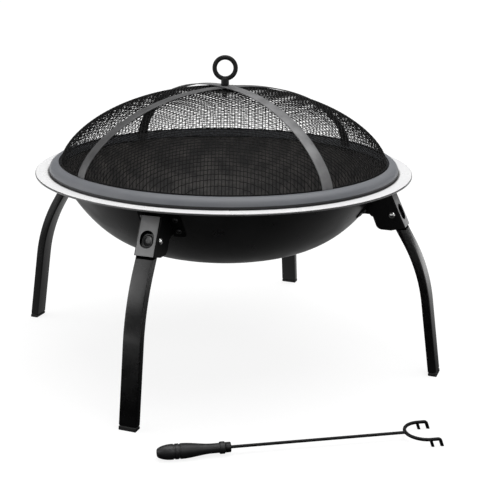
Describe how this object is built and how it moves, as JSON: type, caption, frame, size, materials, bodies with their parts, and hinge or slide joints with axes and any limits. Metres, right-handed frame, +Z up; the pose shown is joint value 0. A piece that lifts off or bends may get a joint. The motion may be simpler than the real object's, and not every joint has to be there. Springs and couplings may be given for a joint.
{
  "type": "fire pit",
  "caption": "Round steel fire bowl with a wide bright rim on folding bent tube legs, a domed mesh spark screen with a ring handle, and a forked poker.",
  "frame": {"origin": "on the ground, at the centre of the whole footprint, which takes in the poker lying in front, so the pit's own axis is 40.4 mm behind it", "axes": "+Z up, -Y towards the viewer of the picture, +X to the viewer's right"},
  "size_m": [0.6476, 0.7284, 0.4488],
  "materials": {
    "bowl": "satin black enamel, the flat rim bright polished steel",
    "ring": "slate grey satin paint",
    "cloth": "black painted wire cloth",
    "strap": "dull grey steel",
    "handle": "satin black paint",
    "washer": "zinc plated",
    "nut": "zinc plated",
    "bracket": "dark grey paint",
    "rivet": "bright domed heads",
    "bolt": "black oxide",
    "tube": "satin black enamel",
    "button": "smooth black",
    "spring": "spring steel",
    "cap": "matte black",
    "grip": "matte black, turned grooves",
    "collar": "dark grey",
    "rod": "satin black paint"
  },
  "bodies": {
    "pit": {"bowl": "bowl", "leg_bracket_1": "bracket", "leg_bracket_2": "bracket", "leg_bracket_3": "bracket", "leg_bracket_4": "bracket", "pivot_rivet_1": "rivet", "pivot_rivet_2": "rivet", "pivot_rivet_3": "rivet", "pivot_rivet_4": "rivet", "bracket_bolt_1_1": "bolt", "bracket_bolt_1_2": "bolt", "bracket_bolt_1_3": "bolt", "bracket_bolt_1_4": "bolt", "bracket_bolt_2_1": "bolt", "bracket_bolt_2_2": "bolt", "bracket_bolt_2_3": "bolt", "bracket_bolt_2_4": "bolt", "bracket_bolt_3_1": "bolt", "bracket_bolt_3_2": "bolt", "bracket_bolt_3_3": "bolt", "bracket_bolt_3_4": "bolt", "bracket_bolt_4_1": "bolt", "bracket_bolt_4_2": "bolt", "bracket_bolt_4_3": "bolt", "bracket_bolt_4_4": "bolt"},
    "leg_1": {"leg_tube_1": "tube", "foot_cap_1": "cap", "leaf_spring_1": "spring"},
    "leg_2": {"leg_tube_2": "tube", "foot_cap_2": "cap", "leaf_spring_2": "spring"},
    "leg_3": {"leg_tube_3": "tube", "foot_cap_3": "cap", "leaf_spring_3": "spring"},
    "leg_4": {"leg_tube_4": "tube", "foot_cap_4": "cap", "leaf_spring_4": "spring"},
    "button_1": {"lock_button_1": "button"},
    "button_2": {"lock_button_2": "button"},
    "button_3": {"lock_button_3": "button"},
    "button_4": {"lock_button_4": "button"},
    "screen": {"screen_ring": "ring", "screen_mesh": "cloth", "dome_strap_1": "strap", "dome_strap_2": "strap", "ring_handle": "handle", "dome_washer": "washer", "dome_nut": "nut"},
    "poker": {"poker_grip": "grip", "poker_collar": "collar", "poker_rod": "rod"}
  },
  "joints": [
    {"name": "leg_1_fold", "type": "hinge", "parent": "pit", "child": "leg_1", "pos_m": [-0.08961, -0.20582, 0.238], "axis": [0.9397, -0.342, 0], "range_deg": [0, 82]},
    {"name": "leg_2_fold", "type": "hinge", "parent": "pit", "child": "leg_2", "pos_m": [0.2462, -0.04923, 0.238], "axis": [0.342, 0.9397, 0], "range_deg": [0, 82]},
    {"name": "leg_3_fold", "type": "hinge", "parent": "pit", "child": "leg_3", "pos_m": [0.08961, 0.28658, 0.238], "axis": [-0.9397, 0.342, 0], "range_deg": [0, 82]},
    {"name": "leg_4_fold", "type": "hinge", "parent": "pit", "child": "leg_4", "pos_m": [-0.2462, 0.12999, 0.238], "axis": [-0.342, -0.9397, 0], "range_deg": [0, 82]},
    {"name": "button_1_press", "type": "slide", "parent": "leg_1", "child": "button_1", "axis": [0.2916, 0.8012, -0.5226], "range_m": [0, 0.0016], "stiffness_N_per_m": 900, "springref_m": -0.0015, "deforming": ["leaf_spring_1"]},
    {"name": "button_2_press", "type": "slide", "parent": "leg_2", "child": "button_2", "axis": [-0.8012, 0.2916, -0.5226], "range_m": [0, 0.0016], "stiffness_N_per_m": 900, "springref_m": -0.0015, "deforming": ["leaf_spring_2"]},
    {"name": "button_3_press", "type": "slide", "parent": "leg_3", "child": "button_3", "axis": [-0.2916, -0.8012, -0.5226], "range_m": [0, 0.0016], "stiffness_N_per_m": 900, "springref_m": -0.0015, "deforming": ["leaf_spring_3"]},
    {"name": "button_4_press", "type": "slide", "parent": "leg_4", "child": "button_4", "axis": [0.8012, -0.2916, -0.5226], "range_m": [0, 0.0016], "stiffness_N_per_m": 900, "springref_m": -0.0015, "deforming": ["leaf_spring_4"]},
    {"name": "screen_lift", "type": "slide", "parent": "pit", "child": "screen", "axis": [0, 0, 1], "range_m": [0, 0.25]},
    {"name": "poker_lift", "type": "slide", "parent": "pit", "child": "poker", "axis": [0, 0, 1], "range_m": [0, 0.3]}
  ]
}
